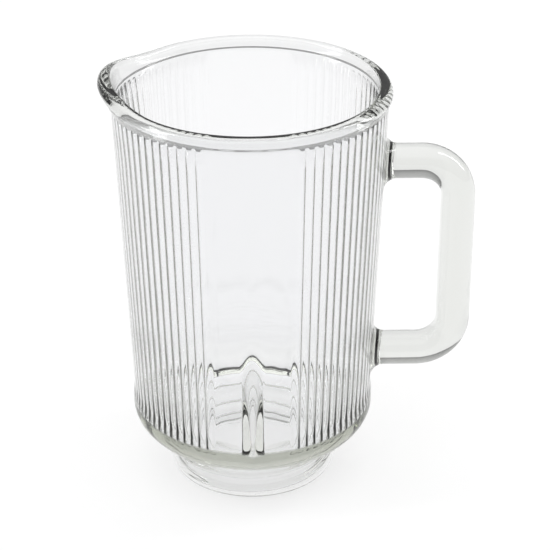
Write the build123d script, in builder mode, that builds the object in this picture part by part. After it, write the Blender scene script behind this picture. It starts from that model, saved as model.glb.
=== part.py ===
# Blender jar of pressed clear glass, one piece: a tapered beaker with a rounded rim and a pouring lip,
# a D handle, fine flutes and one baffle rib inside the wall, and an open neck below for the blade unit.
# Millimetres. The jar's axis is Z and its foot stands on Z = 0. The lip points to -X, the handle to +X.
import os
from math import atan2, cos, degrees, hypot, pi, radians, sin

from build123d import *

# Height and outside of the beaker
JAR_HEIGHT = 193.4
RIM_RADIUS = 63.0
WALL_TAPER = 5.8  # how much narrower the wall is at its foot than at its top
WALL = 4.4  # between the outside and the ridges of the flutes

# Rounded rim, a bead round the top of the wall
RIM_PROUD = 1.3  # how far the rim stands out from the wall
BEAD_HEIGHT = 3.8  # from the top of the rim to the foot of its side
BEAD_DEPTH = 6.6  # from the top of the rim to where its underside meets the wall
RIM_ROUND = 3.6
LIP_OVERHANG = 0.4  # how far the rim stands in from the inside of the wall
LIP_DEPTH = 4.5  # from the top of the rim to the foot of its inner side
BEAD_ROOT = 1.3  # how far the rim's section is let into the wall

# Plain band and rounded shoulder below the flutes
BAND_PROUD = 0.7  # how far the band stands out from the wall
BAND_TOP = 39.5
BAND_STEP = 4.5  # height of the slope from the band to the wall
SHOULDER_ROUND = 13.0
UNDERSIDE = 22.0  # height of the shoulder's underside

# Neck that the blade unit is clamped to
NECK_INSET = 17.9  # how far the neck stands in from the band
NECK_WALL = 8.2
NECK_BLEND = 2.0  # slope in the corner between the neck and the underside
FOOT_EDGE = 2.0  # bevel round the foot
BORE_LEAD = 1.2  # bevel at the foot of the bore
BORE_EDGE = 1.5  # bevel at the top of the bore

# Inside floor, which slopes to the neck
FLOOR_EDGE = 35.0  # height of the floor at the wall
BORE_TOP = 19.5  # height of the floor at the bore

# Flutes pressed into the inside of the wall, left off two plain panels at the front and the back
FLUTE_PITCHES = 84  # pitches in the whole circle
PANEL_PITCHES = 9  # pitches that each plain panel takes up
FLUTE_DEPTH = 0.85  # middle of a flute, behind the plain panels
FLUTE_ROUND = 3.4  # radius of a flute's hollow
FLUTE_DROP = 7.4  # from the top of the rim to the flutes' upper ends
FLUTE_FOOT = 36.0
FLUTE_RUNOUT = 1.0  # height over which a flute fades out at each end

# Pouring lip
SPOUT_HALF_ANGLE = 46.0
SPOUT_DROP = 25.4  # from the top of the rim to where the wall starts to flare
SPOUT_REACH = 3.8
SPOUT_LIFT = 5.4
SPOUT_TUCK = 1.8  # how far the rim's underside drops below the lip
SPOUT_SECTIONS = 9
SCOOP_CLEAR = 0.5  # the tool that hollows the lip starts this far inside the wall

# Baffle rib inside the front panel
RIB_RADIUS = 5.0
RIB_TIP_RADIUS = 1.0
RIB_HEIGHT = 57.0  # from the edge of the floor to where the rib fades out
RIB_ROOT = 1.5  # how far the rib is let into the wall
RIB_SINK = 1.0  # how far its foot is let into the floor

# D handle
GRIP_CLEAR = 30.8  # from the side of the rim to the middle of the grip
HANDLE_DROP = 37.7  # from the top of the rim to the middle of the upper arm
HANDLE_FOOT = 59.2  # height of the middle of the lower arm
HANDLE_THICKNESS = 15.5
HANDLE_WIDTH = 17.0
HANDLE_BEND = 17.0
HANDLE_ROOT = 2.2  # how far each arm is let into the wall
HANDLE_BLEND = 4.0

WALL_RADIUS_TOP = RIM_RADIUS - RIM_PROUD  # outside of the wall, carried on up to JAR_HEIGHT
WALL_RADIUS_FOOT = WALL_RADIUS_TOP - WALL_TAPER
WALL_BOTTOM = BAND_TOP + BAND_STEP
BAND_RADIUS = WALL_RADIUS_FOOT + BAND_PROUD
NECK_RADIUS = BAND_RADIUS - NECK_INSET
BORE_RADIUS = NECK_RADIUS - NECK_WALL
PITCH = 360 / FLUTE_PITCHES
FLUTE_TOP = JAR_HEIGHT - FLUTE_DROP
SPOUT_START = JAR_HEIGHT - SPOUT_DROP
LIP_ANGLE = 180.0
RIB_TOP = FLOOR_EDGE + RIB_HEIGHT
HANDLE_REACH = RIM_RADIUS + GRIP_CLEAR
HANDLE_TOP = JAR_HEIGHT - HANDLE_DROP


def wall_radius(height):
    """Outside radius of the tapered wall at a height."""
    slope = (WALL_RADIUS_TOP - WALL_RADIUS_FOOT) / (JAR_HEIGHT - WALL_BOTTOM)
    return WALL_RADIUS_FOOT + slope * (height - WALL_BOTTOM)


def inner_radius(height):
    """Inside radius of the plain wall at a height."""
    return wall_radius(height) - WALL


def radial_plane(angle):
    """Upright plane through the jar's axis: its x runs outwards at the angle, its y runs up."""
    turn = radians(angle)
    return Plane(origin=(0, 0, 0), x_dir=(cos(turn), sin(turn), 0), z_dir=(sin(turn), -cos(turn), 0))


def lip_share(angle):
    """How much of the pouring lip's reach a section takes: 1 at its middle, 0 at its sides."""
    return cos(pi / 2 * (angle - LIP_ANGLE) / SPOUT_HALF_ANGLE) ** 2


def flare(share, height):
    """How far a section of the pouring lip is drawn out at a height."""
    return share * SPOUT_REACH * (height - SPOUT_START) / (JAR_HEIGHT + share * SPOUT_LIFT - SPOUT_START)


def rim_section(angle):
    """Section of the rim, drawn out and up by its share of the pouring lip."""
    share = lip_share(angle)
    top = JAR_HEIGHT + share * SPOUT_LIFT
    side = RIM_RADIUS + share * SPOUT_REACH
    under = JAR_HEIGHT - BEAD_DEPTH - share * SPOUT_TUCK
    lip = inner_radius(JAR_HEIGHT) - LIP_OVERHANG + flare(share, top)
    lip_foot = JAR_HEIGHT - LIP_DEPTH
    lip_root = inner_radius(lip_foot) - LIP_OVERHANG + flare(share, lip_foot)
    slope = (top - BEAD_HEIGHT - under) / (side - wall_radius(under))
    with BuildSketch(radial_plane(angle)) as section:
        with BuildLine():
            FilletPolyline(
                (wall_radius(under) - BEAD_ROOT, under - slope * BEAD_ROOT),
                (side, top - BEAD_HEIGHT),
                (side, top),
                (lip, top),
                (lip_root, lip_foot),
                (lip_root + BEAD_ROOT, lip_foot - BEAD_ROOT),
                radius=(0, 0, RIM_ROUND, 0, 0, 0),
                close=True,
            )
        make_face()
    return section.sketch


def scoop_section(angle):
    """Section of the space that the pouring lip takes out of the inside of the wall."""
    share = lip_share(angle)
    low = inner_radius(SPOUT_START) - SCOOP_CLEAR
    high = inner_radius(JAR_HEIGHT) - (1 - share) * SCOOP_CLEAR + flare(share, JAR_HEIGHT)
    with BuildSketch(radial_plane(angle)) as section:
        with BuildLine():
            Polyline((low, SPOUT_START), (high, JAR_HEIGHT), (low, JAR_HEIGHT), close=True)
        make_face()
    return section.sketch


# The flutes, as the space that they take out of the wall: a round tool laid along the wall for each, and a
# barrel whose sloping ends give each flute its arched run-out.
with BuildPart() as flutes:
    count = FLUTE_PITCHES // 2 - PANEL_PITCHES
    tilt = degrees(atan2(inner_radius(FLUTE_TOP) - inner_radius(FLUTE_FOOT), FLUTE_TOP - FLUTE_FOOT))
    middle = (FLUTE_TOP + FLUTE_FOOT) / 2
    tool_axis = inner_radius(middle) + FLUTE_DEPTH - FLUTE_ROUND
    turns = [side + (n - (count - 1) / 2) * PITCH for side in (0, 180) for n in range(count)]
    along = Location((tool_axis, 0, 0), (0, tilt, 0))
    with Locations(*[Location((0, 0, middle), (0, 0, turn)) * along for turn in turns]):
        # half a turn puts the tool's seam on the side away from the wall
        Cylinder(FLUTE_ROUND, FLUTE_TOP - FLUTE_FOOT + 2 * FLUTE_RUNOUT, rotation=(0, 0, 180))
    with BuildSketch(Plane.XZ) as barrel:
        with BuildLine():
            clear = 2 * FLUTE_DEPTH  # the barrel's side stays clear of the flutes
            low = FLUTE_FOOT + FLUTE_RUNOUT
            high = FLUTE_TOP - FLUTE_RUNOUT
            Polyline(
                (0, FLUTE_FOOT),
                (inner_radius(FLUTE_FOOT), FLUTE_FOOT),
                (inner_radius(low) + clear, low),
                (inner_radius(high) + clear, high),
                (inner_radius(FLUTE_TOP), FLUTE_TOP),
                (0, FLUTE_TOP),
                close=True,
            )
        make_face()
    revolve(axis=Axis.Z, mode=Mode.INTERSECT)

# The baffle rib, a slim cone that leans into the wall until it fades out.
with BuildPart() as rib:
    crest_radius = inner_radius(FLOOR_EDGE) - RIB_RADIUS
    floor_slope = (FLOOR_EDGE - BORE_TOP) / (inner_radius(FLOOR_EDGE) - BORE_RADIUS)
    rib_foot = BORE_TOP + floor_slope * (crest_radius - BORE_RADIUS) - RIB_SINK
    foot_radius = inner_radius(rib_foot)
    tip_radius = inner_radius(RIB_TOP) + RIB_TIP_RADIUS
    lean = degrees(atan2(tip_radius - foot_radius, RIB_TOP - rib_foot))
    middle = (rib_foot + RIB_TOP) / 2
    with Locations(Location((0, -(foot_radius + tip_radius) / 2, middle), (lean, 0, 0))):
        Cone(RIB_RADIUS, RIB_TIP_RADIUS, hypot(tip_radius - foot_radius, RIB_TOP - rib_foot))
    # cut off inside the wall
    with Locations((0, 0, JAR_HEIGHT / 2)):
        low = inner_radius(0) + RIB_ROOT
        high = inner_radius(JAR_HEIGHT) + RIB_ROOT
        Cone(low, high, JAR_HEIGHT, mode=Mode.INTERSECT)

with BuildPart() as jar:
    # foot, neck, shoulder, floor and wall
    wall_top = JAR_HEIGHT - LIP_DEPTH + BEAD_ROOT
    with BuildSketch(Plane.XZ):
        with BuildLine():
            FilletPolyline(
                (BORE_RADIUS + BORE_LEAD, 0),
                (NECK_RADIUS - FOOT_EDGE, 0),
                (NECK_RADIUS, FOOT_EDGE),
                (NECK_RADIUS, UNDERSIDE - NECK_BLEND),
                (NECK_RADIUS + NECK_BLEND, UNDERSIDE),
                (BAND_RADIUS, UNDERSIDE),
                (BAND_RADIUS, BAND_TOP),
                (WALL_RADIUS_FOOT, WALL_BOTTOM),
                (wall_radius(wall_top), wall_top),
                (inner_radius(wall_top), wall_top),
                (inner_radius(FLOOR_EDGE), FLOOR_EDGE),
                (BORE_RADIUS + BORE_EDGE, BORE_TOP + floor_slope * BORE_EDGE),
                (BORE_RADIUS, BORE_TOP - BORE_EDGE),
                (BORE_RADIUS, BORE_LEAD),
                radius=(0, 0, 0, 0, 0, SHOULDER_ROUND, 0, 0, 0, 0, 0, 0, 0, 0),
                close=True,
            )
        make_face()
    revolve(axis=Axis.Z)
    # hollow of the pouring lip
    step = 2 * SPOUT_HALF_ANGLE / (SPOUT_SECTIONS - 1)
    lip_angles = [LIP_ANGLE - SPOUT_HALF_ANGLE + number * step for number in range(SPOUT_SECTIONS)]
    loft([scoop_section(angle) for angle in lip_angles], mode=Mode.SUBTRACT)
    # rim, turned all round but for the pouring lip
    revolve(rim_section(lip_angles[-1]), axis=Axis.Z, revolution_arc=360 - 2 * SPOUT_HALF_ANGLE)
    loft([rim_section(angle) for angle in lip_angles])
    # handle
    upper_root = wall_radius(HANDLE_TOP) - HANDLE_ROOT
    lower_root = wall_radius(HANDLE_FOOT) - HANDLE_ROOT
    with BuildLine(Plane.XZ) as grip:
        FilletPolyline(
            (upper_root, HANDLE_TOP),
            (HANDLE_REACH, HANDLE_TOP),
            (HANDLE_REACH, HANDLE_FOOT),
            (lower_root, HANDLE_FOOT),
            radius=HANDLE_BEND,
        )
    with BuildSketch(Plane(origin=(upper_root, 0, HANDLE_TOP), x_dir=(0, 1, 0), z_dir=(1, 0, 0))):
        SlotOverall(HANDLE_WIDTH, HANDLE_THICKNESS)
    sweep(path=grip.line)
    fillet(jar.edges(Select.NEW), HANDLE_BLEND)
    # flutes
    add(flutes.part, mode=Mode.SUBTRACT)
    # baffle rib
    add(rib.part)

os.makedirs("parts", exist_ok=True)
jar.part.label = "jar"
export_step(jar.part, "parts/jar.step")
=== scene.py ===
import math

import bmesh
import bpy
from mathutils import Matrix, Vector


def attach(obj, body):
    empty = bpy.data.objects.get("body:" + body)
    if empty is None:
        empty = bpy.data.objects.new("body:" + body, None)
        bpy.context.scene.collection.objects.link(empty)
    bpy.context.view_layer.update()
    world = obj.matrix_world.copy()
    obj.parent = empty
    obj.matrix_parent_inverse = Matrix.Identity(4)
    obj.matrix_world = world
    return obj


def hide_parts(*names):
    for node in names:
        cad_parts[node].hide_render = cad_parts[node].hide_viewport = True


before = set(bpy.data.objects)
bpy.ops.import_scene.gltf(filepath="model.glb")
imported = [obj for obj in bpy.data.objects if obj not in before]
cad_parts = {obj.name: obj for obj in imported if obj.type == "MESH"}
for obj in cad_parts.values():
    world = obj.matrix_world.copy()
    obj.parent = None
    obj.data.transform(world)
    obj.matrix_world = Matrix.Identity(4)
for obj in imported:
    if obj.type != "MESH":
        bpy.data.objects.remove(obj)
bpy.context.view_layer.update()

# Beaker: the jar's wall, shoulder and neck, open at both ends, of thick clear glass. It is pressed in
# one piece in a mould, so its section is turned round the axis and then takes the flutes, thread, rib
# and pouring lip.
MM = 0.001
NEAR = 0.01 * MM  # how close a point lies to a surface that it belongs to
JAR_HEIGHT = 193.4 * MM
RIM_RADIUS = 63 * MM
WALL = 4.4 * MM
WALL_RADIUS_TOP = 61.7 * MM
WALL_RADIUS_FOOT = 55.9 * MM
WALL_BOTTOM = 44 * MM
BAND_RADIUS = 56.6 * MM
BAND_TOP = 39.5 * MM
UNDERSIDE = 22 * MM
NECK_RADIUS = 38.7 * MM
BORE_RADIUS = 30.5 * MM
BORE_TOP = 19.5 * MM
FLOOR_EDGE = 35 * MM
BEAD_FOOT = 186.8 * MM
BEAD_SIDE = 189.6 * MM
LIP_FOOT = 188.9 * MM
LIP_INSET = 0.4 * MM  # how far the rim stands in over the inside wall
PLAIN_TOP = 188 * MM
FLUTE_TOP = 186 * MM
FLUTE_RUNOUT = 0.8 * MM
SCALLOP = 5 * MM  # how far the flutes run on into the floor


def wall_radius(height):
    """Outside radius of the tapered wall at a height."""
    slope = (WALL_RADIUS_TOP - WALL_RADIUS_FOOT) / (JAR_HEIGHT - WALL_BOTTOM)
    return WALL_RADIUS_FOOT + slope * (height - WALL_BOTTOM)


def inner_radius(height):
    """Inside radius of the plain wall at a height."""
    return wall_radius(height) - WALL


def radius_of(vert):
    """Distance of a point from the jar's axis."""
    return math.hypot(vert.co.x, vert.co.y)


FLOOR_RADIUS = inner_radius(FLOOR_EDGE)
FLOOR_SLOPE = (FLOOR_EDGE - BORE_TOP) / (FLOOR_RADIUS - BORE_RADIUS)
# each corner of the section: its radius and height, how far from it the rounding starts, and in how
# many steps
section = [
    (BORE_RADIUS, 0, 0.8 * MM, 3),
    (NECK_RADIUS, 0, 2.4 * MM, 6),
    (NECK_RADIUS, UNDERSIDE, 2.4 * MM, 5),
    (BAND_RADIUS, UNDERSIDE, 13 * MM, 14),
    (BAND_RADIUS, BAND_TOP, 2 * MM, 4),
    (WALL_RADIUS_FOOT, WALL_BOTTOM, 2 * MM, 4),
    (wall_radius(BEAD_FOOT), BEAD_FOOT, 1.2 * MM, 4),
    (RIM_RADIUS, BEAD_SIDE, 0.3 * MM, 2),
    (RIM_RADIUS, JAR_HEIGHT, 3.4 * MM, 8),
    (inner_radius(JAR_HEIGHT) - LIP_INSET, JAR_HEIGHT, 1.2 * MM, 5),
    (inner_radius(LIP_FOOT) - LIP_INSET, LIP_FOOT, 0.4 * MM, 2),
    (inner_radius(PLAIN_TOP), PLAIN_TOP, 0.3 * MM, 2),
    (inner_radius(FLUTE_TOP), FLUTE_TOP, 0, 1),
    (inner_radius(FLUTE_TOP - FLUTE_RUNOUT), FLUTE_TOP - FLUTE_RUNOUT, 0, 1),
    (FLOOR_RADIUS, FLOOR_EDGE, 0.5 * MM, 3),
    (FLOOR_RADIUS - SCALLOP / 2, FLOOR_EDGE - FLOOR_SLOPE * SCALLOP / 2, 0, 1),
    (FLOOR_RADIUS - SCALLOP, FLOOR_EDGE - FLOOR_SLOPE * SCALLOP, 0, 1),
    (BORE_RADIUS, BORE_TOP, 1.8 * MM, 5),
]
beaker = bmesh.new()
corners = [beaker.verts.new((radius, 0, height)) for radius, height, setback, steps in section]
beaker.faces.new(corners)
for corner, (radius, height, setback, steps) in zip(corners, section):
    if setback:
        bmesh.ops.bevel(
            beaker, geom=[corner], offset=setback, offset_type="OFFSET", segments=steps,
            profile=0.5, affect="VERTICES", material=-1,
        )
bmesh.ops.delete(beaker, geom=beaker.faces[:], context="FACES_ONLY")
# rows of points for the thread, the lip and the rib
NECK_CUTS = 19
WALL_RUN = 100 * MM
WALL_CUTS = 16
SHORT_RUN = 10 * MM
SHORT_CUTS = 2
neck_run = [
    edge for edge in beaker.edges
    if all(abs(vert.co.x - NECK_RADIUS) < NEAR for vert in edge.verts)
]
bmesh.ops.subdivide_edges(beaker, edges=neck_run, cuts=NECK_CUTS)
for shortest, cuts in ((WALL_RUN, WALL_CUTS), (SHORT_RUN, SHORT_CUTS)):
    long_runs = [edge for edge in beaker.edges if edge.calc_length() > shortest]
    bmesh.ops.subdivide_edges(beaker, edges=long_runs, cuts=cuts)
FLUTE_PITCHES = 84
STEPS_PER_FLUTE = 8
SECTORS = 21
SECTOR_STEPS = FLUTE_PITCHES * STEPS_PER_FLUTE // SECTORS
SEAM = 0.002 * MM
# one sector is turned, and its copies are set round the axis and joined
bmesh.ops.spin(
    beaker, geom=beaker.verts[:] + beaker.edges[:], axis=(0, 0, 1), cent=(0, 0, 0),
    angle=math.tau / SECTORS, steps=SECTOR_STEPS, use_merge=False, use_duplicate=False,
)
bmesh.ops.spin(
    beaker, geom=beaker.verts[:] + beaker.edges[:] + beaker.faces[:], axis=(0, 0, 1), cent=(0, 0, 0),
    angle=math.tau * (SECTORS - 1) / SECTORS, steps=SECTORS - 1, use_merge=False, use_duplicate=True,
)
bmesh.ops.remove_doubles(beaker, verts=beaker.verts[:], dist=SEAM)

# Flutes: fine round grooves that the mould's plunger leaves in the glass, all down the inside wall. They
# stand in two runs, one on the lip's side and one on the handle's, with a plain panel at the front and
# at the back between them.
FLUTES_PER_RUN = 33
EDGE_SLACK = 0.01  # of a pitch, so that a run keeps the points on its own edge
FLUTE_DEPTH = 0.85 * MM
FLUTE_ROUND = 3.4 * MM
flute_angle = math.tau / FLUTE_PITCHES
for vert in beaker.verts:
    radius = radius_of(vert)
    inside = radius < inner_radius(vert.co.z) + NEAR and BORE_TOP < vert.co.z < FLUTE_TOP - NEAR
    fade = min(1, 1 - (FLOOR_RADIUS - radius) / SCALLOP)
    # pitches from the middle of the nearer run
    pitches = math.asin(abs(vert.co.y) / radius) / flute_angle
    if inside and fade > 0 and pitches < FLUTES_PER_RUN / 2 + EDGE_SLACK:
        offset = (pitches - round(pitches)) * flute_angle * radius
        depth = FLUTE_DEPTH - FLUTE_ROUND + math.sqrt(FLUTE_ROUND ** 2 - offset ** 2)
        vert.co.xy *= (radius + depth * fade) / radius

# Thread: a coarse rounded screw thread in the glass of the neck, for the collar that clamps the blade
# unit on. The mould's ring forms it, so it stands out from a slightly narrower neck and runs out softly
# at both ends.
THREAD_PITCH = 7 * MM
THREAD_DEPTH = 1.4 * MM
THREAD_LOW = 2.4 * MM
THREAD_HIGH = 19.6 * MM
THREAD_FADE = 2 * MM
THREAD_SHARPNESS = 1.5
for vert in beaker.verts:
    radius = radius_of(vert)
    height = vert.co.z
    if abs(radius - NECK_RADIUS) < NEAR and THREAD_LOW < height < THREAD_HIGH:
        turns = height / THREAD_PITCH - math.atan2(vert.co.y, vert.co.x) / math.tau
        crest = max(0, math.cos(math.tau * turns)) ** THREAD_SHARPNESS
        fade = min(1, (height - THREAD_LOW) / THREAD_FADE, (THREAD_HIGH - height) / THREAD_FADE)
        vert.co.xy *= (radius - THREAD_DEPTH * fade * (1 - crest)) / radius

# Rib: a rounded ridge of the same glass up the lower half of the front panel, which breaks the swirl of
# the food. It is pressed with the wall, stands on the floor and runs out to nothing at its top.
RIB_DEPTH = 5 * MM
RIB_HALF_WIDTH = 4.8 * MM
RIB_TOP = 92 * MM
RIB_FOOT_GAP = 3 * MM  # clear of the bore's edge
for vert in beaker.verts:
    radius = radius_of(vert)
    inside = radius < inner_radius(vert.co.z) + NEAR and BORE_TOP < vert.co.z < RIB_TOP
    if not inside or vert.co.y > 0 or abs(vert.co.x) > RIB_HALF_WIDTH:
        continue
    fade = 1 - max(0, vert.co.z - FLOOR_EDGE) / (RIB_TOP - FLOOR_EDGE)
    crest = RIB_DEPTH * fade * math.cos(math.pi / 2 * vert.co.x / RIB_HALF_WIDTH)
    # the floor gives way to the rib's foot and stays on its own slope
    bore_edge = BORE_RADIUS + RIB_FOOT_GAP
    crest *= min(1, max(0, (radius - bore_edge) / (FLOOR_RADIUS - bore_edge)))
    if vert.co.z < FLOOR_EDGE:
        vert.co.z -= crest * FLOOR_SLOPE
    vert.co.xy *= (radius - crest) / radius

# Pouring lip: the side of the rim opposite the handle, drawn out and up while the glass is soft. Inside
# it is scooped out of the wall. Outside the wall stays straight, and the underside of the rim slopes out
# to the lip.
LIP_HALF_ANGLE = math.radians(46)
LIP_START = 168 * MM
LIP_REACH = 3.8 * MM
LIP_LIFT = 5.4 * MM
LIP_TUCK = 1.8 * MM
for vert in beaker.verts:
    angle = math.atan2(vert.co.y, -vert.co.x)
    height = vert.co.z
    if height < LIP_START or abs(angle) > LIP_HALF_ANGLE:
        continue
    swell = math.cos(math.pi / 2 * angle / LIP_HALF_ANGLE) ** 2
    radius = radius_of(vert)
    if radius < inner_radius(height) + WALL / 2:
        lift = swell * LIP_LIFT * max(0, height - LIP_FOOT) / (JAR_HEIGHT - LIP_FOOT)
        lip_top = JAR_HEIGHT + swell * LIP_LIFT
        reach = swell * LIP_REACH * (height + lift - LIP_START) / (lip_top - LIP_START)
    else:
        rise = min(1, max(0, height - BEAD_FOOT) / (BEAD_SIDE - BEAD_FOOT))
        sink = min(1, (height - LIP_START) / (BEAD_FOOT - LIP_START))
        lift = swell * (rise * LIP_LIFT - (1 - rise) * sink * LIP_TUCK)
        reach = swell * rise * LIP_REACH
    vert.co.z += lift
    vert.co.xy *= (radius + reach) / radius

# Handle: a D of the same glass, pressed in one with the beaker. Its oval section follows two arms and a
# straight grip, and each arm runs out into the wall in a rounded root.
GRIP_X = 93.8 * MM
UPPER_ARM = 155.7 * MM
LOWER_ARM = 59.2 * MM
HANDLE_THICKNESS = 15.5 * MM
HANDLE_WIDTH = 17 * MM
HANDLE_BEND = 17 * MM
BEND_STEPS = 14
ROOT_ROUND = 5.5 * MM
ROOT_STEPS = 6
ROOT_MARGIN = 1 * MM
SECTION_STEPS = 40
SIDE_STEP = (HANDLE_WIDTH - HANDLE_THICKNESS) / 2


def wall_at(y, z, gap):
    """X of a point that stands off the outside of the wall by a gap."""
    return math.sqrt(wall_radius(z) ** 2 - y ** 2) + gap


def edges_in(geometry):
    """The edges in what an operator made."""
    return [item for item in geometry if isinstance(item, bmesh.types.BMEdge)]


def verts_in(geometry):
    """The points in what an operator made."""
    return [item for item in geometry if isinstance(item, bmesh.types.BMVert)]


def verts_of(edges):
    """The points of a loop of edges, each once and in the loop's order."""
    return list(dict.fromkeys(vert for edge in edges for vert in edge.verts))


def on_wall(face):
    """Whether a face lies on the handle's side of the outside wall."""
    return all(
        vert.co.x > 0 and abs(radius_of(vert) - wall_radius(vert.co.z)) < NEAR
        for vert in face.verts
    )


def bend(loop, centre_z):
    """Carries a loop through a quarter turn of the handle and gives the loop at its end."""
    made = bmesh.ops.spin(
        beaker, geom=verts_of(loop) + loop, axis=(0, 1, 0), cent=(GRIP_X - HANDLE_BEND, 0, centre_z),
        angle=math.pi / 2, steps=BEND_STEPS, use_merge=False, use_duplicate=False,
    )
    return edges_in(made["geom_last"])


wall_faces = [face for face in beaker.faces if on_wall(face)]
across = Matrix.Translation((GRIP_X - HANDLE_BEND, 0, UPPER_ARM)) @ Matrix.Rotation(math.pi / 2, 4, "Y")
oval = bmesh.ops.create_circle(
    beaker, segments=SECTION_STEPS, radius=HANDLE_THICKNESS / 2, matrix=across
)["verts"]
for vert in oval:
    vert.co.y += math.copysign(SIDE_STEP, vert.co.y)
upper_loop = list(dict.fromkeys(edge for vert in oval for edge in vert.link_edges))
grip_top = bend(upper_loop, UPPER_ARM - HANDLE_BEND)
grip = bmesh.ops.extrude_edge_only(beaker, edges=grip_top)["geom"]
grip_length = UPPER_ARM - LOWER_ARM - 2 * HANDLE_BEND
bmesh.ops.translate(beaker, verts=verts_in(grip), vec=(0, 0, -grip_length))
grip_foot = [
    edge for edge in edges_in(grip)
    if all(abs(vert.co.z - LOWER_ARM - HANDLE_BEND) < NEAR for vert in edge.verts)
]
lower_loop = bend(grip_foot, LOWER_ARM + HANDLE_BEND)
for arm, rim in ((UPPER_ARM, upper_loop), (LOWER_ARM, lower_loop)):
    spread = 0
    for step in range(ROOT_STEPS + 1):
        turned = math.pi / 2 * step / ROOT_STEPS
        out = bmesh.ops.extrude_edge_only(beaker, edges=rim)["geom"]
        fresh = verts_in(out)
        rim = [edge for edge in edges_in(out) if all(vert in fresh for vert in edge.verts)]
        grown = ROOT_ROUND * (1 - math.cos(turned)) - spread
        spread += grown
        for vert in fresh:
            core = math.copysign(SIDE_STEP, vert.co.y)
            vert.co += Vector((0, vert.co.y - core, vert.co.z - arm)).normalized() * grown
            vert.co.x = wall_at(vert.co.y, vert.co.z, ROOT_ROUND * (1 - math.sin(turned)))
    # the wall is opened under the root and joined to it
    reach = HANDLE_WIDTH / 2 + ROOT_ROUND + ROOT_MARGIN
    middle = Vector((wall_radius(arm), 0, arm))
    patch = [
        face for face in wall_faces
        if face.is_valid and (face.calc_center_median() - middle).length < reach
    ]
    bmesh.ops.delete(beaker, geom=patch, context="FACES")
    border = [
        edge for edge in beaker.edges
        if edge.is_boundary and edge not in rim and abs(edge.verts[0].co.z - arm) < 2 * reach
    ]
    bmesh.ops.bridge_loops(beaker, edges=border + rim)
bmesh.ops.recalc_face_normals(beaker, faces=beaker.faces[:])
for face in beaker.faces:
    face.smooth = True
jar_mesh = bpy.data.meshes.new("glass_jar")
beaker.to_mesh(jar_mesh)
beaker.free()
jar = bpy.data.objects.new("glass_jar", jar_mesh)
bpy.context.scene.collection.objects.link(jar)
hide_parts("jar")
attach(jar, "root")

# Clear glass: soda-lime glass, fire polished after pressing. It has a slight olive tint that shows in
# its thick edges, and faint long waves in its skin where it cooled against the mould.
GLASS_IOR = 1.5
SKIN_COLOUR = (0.965, 0.965, 0.985, 1)
OLIVE_TINT = (0.62, 0.64, 0.555, 1)
TINT_DENSITY = 32
WAVES_PER_METRE = 110
WAVE_STRETCH = (1, 1, 0.3)  # longer up the wall than round it
WAVE_HEIGHT = 0.2 * MM
glass = bpy.data.materials.new("clear_pressed_glass")
glass.use_nodes = True
glass_nodes = glass.node_tree.nodes
glass_links = glass.node_tree.links
skin = glass_nodes["Principled BSDF"]
skin.inputs["Base Color"].default_value = SKIN_COLOUR
skin.inputs["Transmission Weight"].default_value = 1
skin.inputs["Roughness"].default_value = 0
skin.inputs["IOR"].default_value = GLASS_IOR
tint = glass_nodes.new("ShaderNodeVolumeAbsorption")
tint.inputs["Color"].default_value = OLIVE_TINT
tint.inputs["Density"].default_value = TINT_DENSITY
glass_links.new(tint.outputs["Volume"], glass_nodes["Material Output"].inputs["Volume"])
spot = glass_nodes.new("ShaderNodeTexCoord")
stretch = glass_nodes.new("ShaderNodeMapping")
stretch.inputs["Scale"].default_value = WAVE_STRETCH
waves = glass_nodes.new("ShaderNodeTexNoise")
waves.inputs["Scale"].default_value = WAVES_PER_METRE
waves.inputs["Detail"].default_value = 1
ripple = glass_nodes.new("ShaderNodeBump")
ripple.inputs["Strength"].default_value = 1
ripple.inputs["Distance"].default_value = WAVE_HEIGHT
glass_links.new(spot.outputs["Object"], stretch.inputs["Vector"])
glass_links.new(stretch.outputs["Vector"], waves.inputs["Vector"])
glass_links.new(waves.outputs["Fac"], ripple.inputs["Height"])
glass_links.new(ripple.outputs["Normal"], skin.inputs["Normal"])
jar_mesh.materials.append(glass)

# Table: a plain white table top that the jar stands on, wide enough to run on past the picture on every
# side. Most of what shows through the clear glass is this white, and it takes the jar's soft shadow.
TABLE_HALF_WIDTH = 5
GLOW = 0.72  # share of the white that is seen as a lit ground, the rest takes the shadow
TABLE_WHITE = (0.97, 0.97, 0.97, 1)
TABLE_ROUGHNESS = 0.9
table_top = bmesh.new()
bmesh.ops.create_grid(table_top, x_segments=1, y_segments=1, size=TABLE_HALF_WIDTH)
table_mesh = bpy.data.meshes.new("white_table")
table_top.to_mesh(table_mesh)
table_top.free()
table = bpy.data.objects.new("white_table", table_mesh)
bpy.context.scene.collection.objects.link(table)
white = bpy.data.materials.new("white_table_top")
white.use_nodes = True
white_nodes = white.node_tree.nodes
white_links = white.node_tree.links
matt = white_nodes["Principled BSDF"]
matt.inputs["Base Color"].default_value = TABLE_WHITE
matt.inputs["Roughness"].default_value = TABLE_ROUGHNESS
lit_ground = white_nodes.new("ShaderNodeEmission")
ray = white_nodes.new("ShaderNodeLightPath")
seen = ray.outputs["Is Camera Ray"]
for kind in ("Is Glossy Ray", "Is Transmission Ray"):
    either = white_nodes.new("ShaderNodeMath")
    either.operation = "MAXIMUM"
    white_links.new(seen, either.inputs[0])
    white_links.new(ray.outputs[kind], either.inputs[1])
    seen = either.outputs["Value"]
glow = white_nodes.new("ShaderNodeMath")
glow.operation = "MULTIPLY"
glow.inputs[1].default_value = GLOW
ground = white_nodes.new("ShaderNodeMixShader")
white_links.new(seen, glow.inputs[0])
white_links.new(glow.outputs["Value"], ground.inputs["Fac"])
white_links.new(matt.outputs["BSDF"], ground.inputs[1])
white_links.new(lit_ground.outputs["Emission"], ground.inputs[2])
white_links.new(ground.outputs["Shader"], white_nodes["Material Output"].inputs["Surface"])
table_mesh.materials.append(white)

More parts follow.
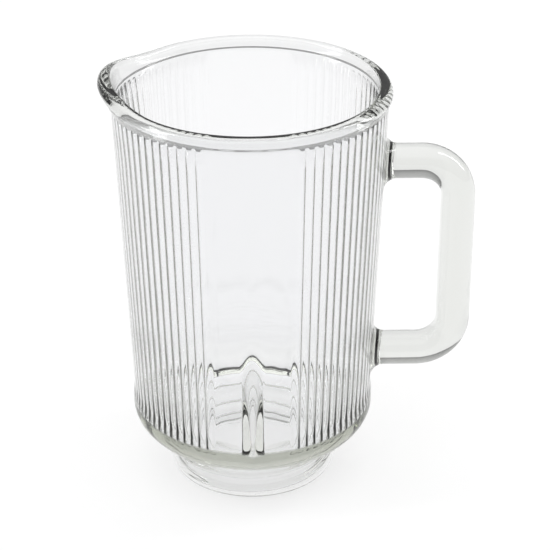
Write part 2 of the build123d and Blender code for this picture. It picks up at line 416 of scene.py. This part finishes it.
# Studio light: one broad white ceiling over the table, which falls off to dim walls. The dim walls draw
# the thin grey lines along the edges of the clear glass, and a tall softbox on either side adds the
# white glints.
SKY = ((0, 0.26), (0.15, 0.42), (0.6, 0.52), (0.8, 1.4), (1, 1.7))  # height over the horizon, brightness
SOFTBOXES = ((-0.95, -0.15, 0.75), (0.95, 0.25, 0.8))
SOFTBOX_WIDTH = 0.22
SOFTBOX_HEIGHT = 1
SOFTBOX_WATTS = 4
SOFTBOX_AIM = Vector((0, 0, 0.1))
studio = bpy.data.worlds.new("studio")
studio.use_nodes = True
studio_nodes = studio.node_tree.nodes
studio_links = studio.node_tree.links
direction = studio_nodes.new("ShaderNodeTexCoord")
split = studio_nodes.new("ShaderNodeSeparateXYZ")
sky = studio_nodes.new("ShaderNodeValToRGB")
stops = sky.color_ramp.elements
for index, (height, level) in enumerate(SKY):
    # a new ramp already has two stops
    stop = stops[index] if index < 2 else stops.new(height)
    stop.position = height
    stop.color = (level, level, level, 1)
studio_links.new(direction.outputs["Generated"], split.inputs["Vector"])
studio_links.new(split.outputs["Z"], sky.inputs["Fac"])
studio_links.new(sky.outputs["Color"], studio_nodes["Background"].inputs["Color"])
bpy.context.scene.world = studio
for place in SOFTBOXES:
    lamp = bpy.data.lights.new("softbox", "AREA")
    lamp.shape = "RECTANGLE"
    lamp.size = SOFTBOX_WIDTH
    lamp.size_y = SOFTBOX_HEIGHT
    lamp.energy = SOFTBOX_WATTS
    softbox = bpy.data.objects.new("softbox", lamp)
    softbox.location = place
    softbox.rotation_euler = (SOFTBOX_AIM - Vector(place)).to_track_quat("-Z", "Y").to_euler()
    bpy.context.scene.collection.objects.link(softbox)

# Camera: in front of the jar and above it, looking down into its mouth, with the handle to the right.
# It stands about 0.9 m away and has a long lens, so the jar's sides draw together only a little.
CAMERA_PLACE = (0, -0.7605, 0.5018)
LENS = 121.85
PITCH = math.radians(27.957)
YAW = math.radians(0.815)
ROLL = math.radians(-0.129)
level_part = math.cos(PITCH)
forward = Vector((math.sin(YAW) * level_part, math.cos(YAW) * level_part, -math.sin(PITCH)))
camera = bpy.data.objects.new("camera", bpy.data.cameras.new("camera"))
camera.data.lens = LENS
camera.location = CAMERA_PLACE
aim = forward.to_track_quat("-Z", "Y").to_matrix().to_4x4() @ Matrix.Rotation(ROLL, 4, "Z")
camera.rotation_euler = aim.to_euler()
bpy.context.scene.collection.objects.link(camera)
bpy.context.scene.camera = camera
bpy.context.scene.view_settings.view_transform = "Standard"
